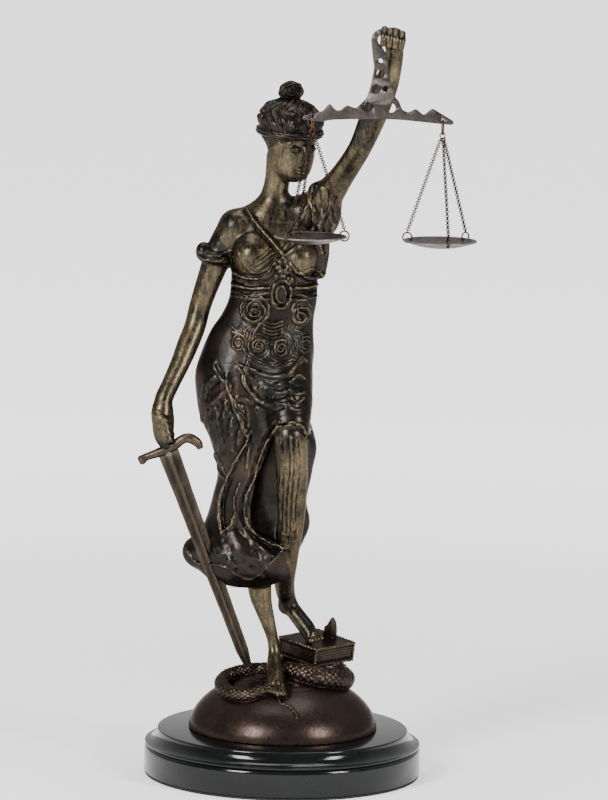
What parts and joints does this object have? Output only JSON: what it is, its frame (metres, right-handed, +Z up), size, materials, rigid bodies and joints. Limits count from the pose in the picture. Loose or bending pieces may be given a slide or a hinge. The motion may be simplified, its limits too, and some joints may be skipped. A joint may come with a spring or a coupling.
{
  "type": "lady justice statue",
  "caption": "Bronze statuette of Lady Justice holding up a pair of scales and resting on a sword, on a round black marble base.",
  "frame": {"origin": "middle of the underside of the felt pad", "axes": "+Z up, towards the raised fist; +X to the viewer's right, the side of the raised arm; +Y to the back of the figure"},
  "size_m": [0.1655, 0.144, 0.3815],
  "materials": {
    "felt": "black felt",
    "marble": "polished black marble",
    "figure_bronze": "cast bronze, dark brown patina rubbed to gold on the high places",
    "sword_bronze": "cast bronze, brown patina",
    "beam_bronze": "cast bronze, grey-brown patina",
    "pan_bronze": "spun brass, brown patina",
    "copper_wire": "darkened copper wire",
    "chain": "darkened copper chain"
  },
  "bodies": {
    "root": {"base_pad": "felt", "marble_base": "marble", "figure": "figure_bronze", "sword": "sword_bronze", "scale_beam": "beam_bronze", "left_pan": "pan_bronze", "right_pan": "pan_bronze", "left_top_ring": "copper_wire", "right_top_ring": "copper_wire", "left_link_ring": "copper_wire", "right_link_ring": "copper_wire", "left_pan_ring_1": "copper_wire", "left_pan_ring_2": "copper_wire", "left_pan_ring_3": "copper_wire", "right_pan_ring_1": "copper_wire", "right_pan_ring_2": "copper_wire", "right_pan_ring_3": "copper_wire", "left_chain_1": "chain", "left_chain_2": "chain", "left_chain_3": "chain", "right_chain_1": "chain", "right_chain_2": "chain", "right_chain_3": "chain"}
  },
  "joints": []
}
